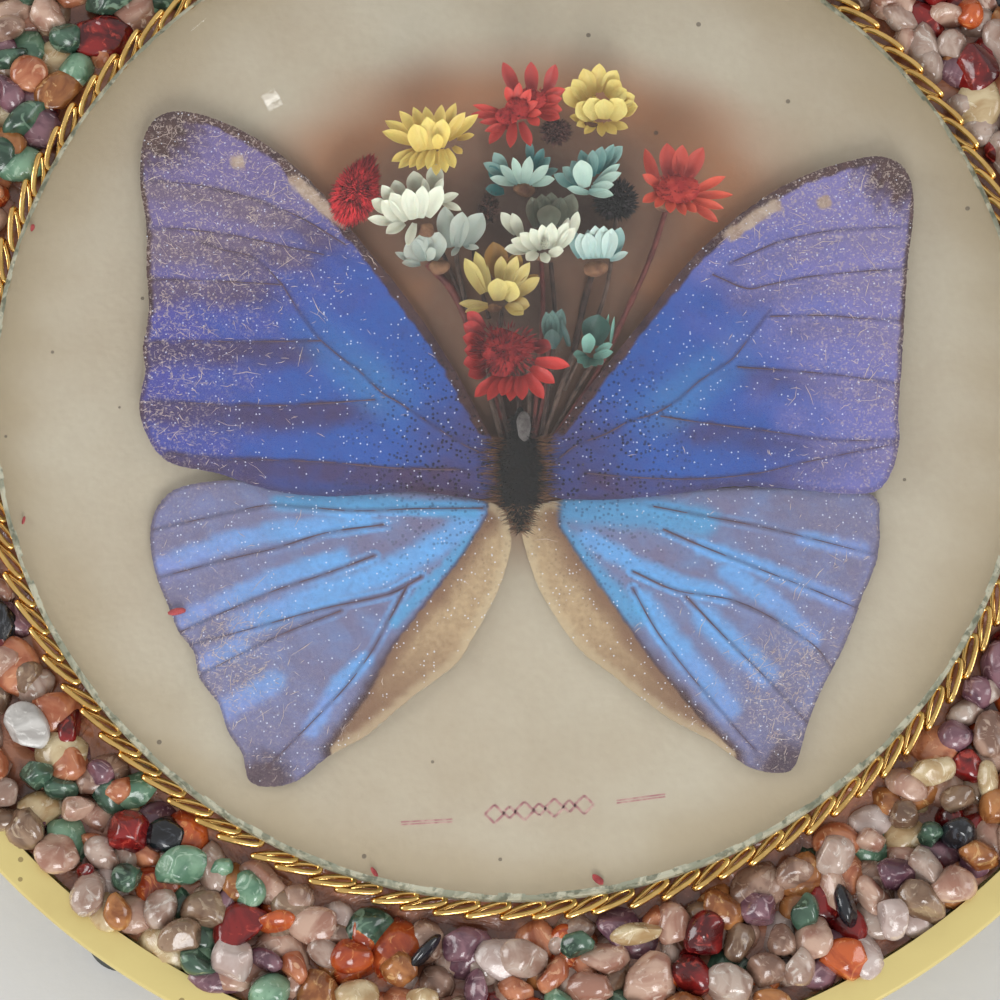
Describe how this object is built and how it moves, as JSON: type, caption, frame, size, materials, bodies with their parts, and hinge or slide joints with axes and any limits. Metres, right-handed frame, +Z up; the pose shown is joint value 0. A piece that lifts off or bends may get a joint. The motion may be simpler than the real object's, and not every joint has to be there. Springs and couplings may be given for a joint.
{
  "type": "butterfly in convex glass frame",
  "caption": "Round metal tray on short feet with a stone-set resin ring, holding a mounted butterfly and dried flowers on a card under a convex glass edged by a curb chain.",
  "frame": {"origin": "on the surface that the feet stand on, below the middle of the round tray", "axes": "+Z up through the tray, out of the glass; the butterfly's head points to +Y and its wings spread along X"},
  "size_m": [0.152, 0.152, 0.0333],
  "materials": {
    "gold_rim": "satin gold-coloured sheet metal with small tarnish spots",
    "foot": "matte black",
    "resin": "glossy clear brown casting resin full of tumbled stone chips",
    "card": "aged cream card, matte, stained round the flowers",
    "glass": "clear convex glass, polished, with a greenish ground edge",
    "chain": "bright polished gold-coloured wire",
    "wing": "iridescent blue wing scales with brown edges, worn in places",
    "body": "dark matte hairy insect body",
    "petal_red": "dyed dried petals, matte",
    "petal_yellow": "dyed dried petals, matte",
    "petal_white": "dried petals, matte",
    "petal_teal": "dyed dried petals, matte",
    "petal_dark": "dyed dried petals, matte",
    "stem": "dry dark stems, matte",
    "stone_light": "tumbled pale stone, polished",
    "stone_dark": "tumbled dark stone, polished",
    "stone_green": "tumbled green stone, polished",
    "stone_red": "tumbled red stone, polished"
  },
  "bodies": {
    "root": {"tray": "gold_rim", "foot_1": "foot", "foot_2": "foot", "foot_3": "foot", "foot_4": "foot", "resin_bed": "resin", "mount_board": "card", "convex_glass": "glass", "chain": "chain", "butterfly_body": "body", "forewing_left": "wing", "forewing_right": "wing", "hindwing_left": "wing", "hindwing_right": "wing", "flower_stems": "stem", "flower_red_fuzzy": "petal_red", "flower_yellow_left": "petal_yellow", "flower_white_large": "petal_white", "flower_bud_upper": "petal_white", "flower_bud_lower": "petal_white", "flower_bud_brown": "petal_dark", "flower_red_top": "petal_red", "flower_yellow_right": "petal_yellow", "flower_dark_head": "petal_dark", "flower_teal_middle": "petal_teal", "flower_teal_right": "petal_teal", "flower_black_fuzzy": "petal_dark", "flower_red_right": "petal_red", "flower_white_middle": "petal_white", "flower_pale_ball": "petal_white", "flower_white_right": "petal_white", "flower_yellow_middle": "petal_yellow", "flower_red_large": "petal_red", "flower_teal_bud": "petal_teal", "flower_teal_small": "petal_teal", "stone_white_oval": "stone_light", "stone_green_dark": "stone_green", "stone_amethyst_left": "stone_dark", "stone_clear_left": "stone_light", "stone_garnet_left": "stone_red", "stone_green_pale": "stone_green", "stone_smoky": "stone_dark", "stone_milky_left": "stone_light", "stone_orange": "stone_red", "stone_black_left": "stone_dark", "stone_cream_low": "stone_light", "stone_clear_front": "stone_light", "stone_green_front": "stone_green", "stone_cream_oval": "stone_light", "stone_jasper_front": "stone_red", "stone_amethyst_right": "stone_dark", "stone_green_right": "stone_green", "stone_black_right": "stone_dark", "stone_clear_right": "stone_light", "stone_milky_right": "stone_light", "stone_cream_speckled": "stone_light", "stone_dark_round": "stone_dark", "stone_green_upper": "stone_green", "stone_red_upper": "stone_red"}
  },
  "joints": []
}
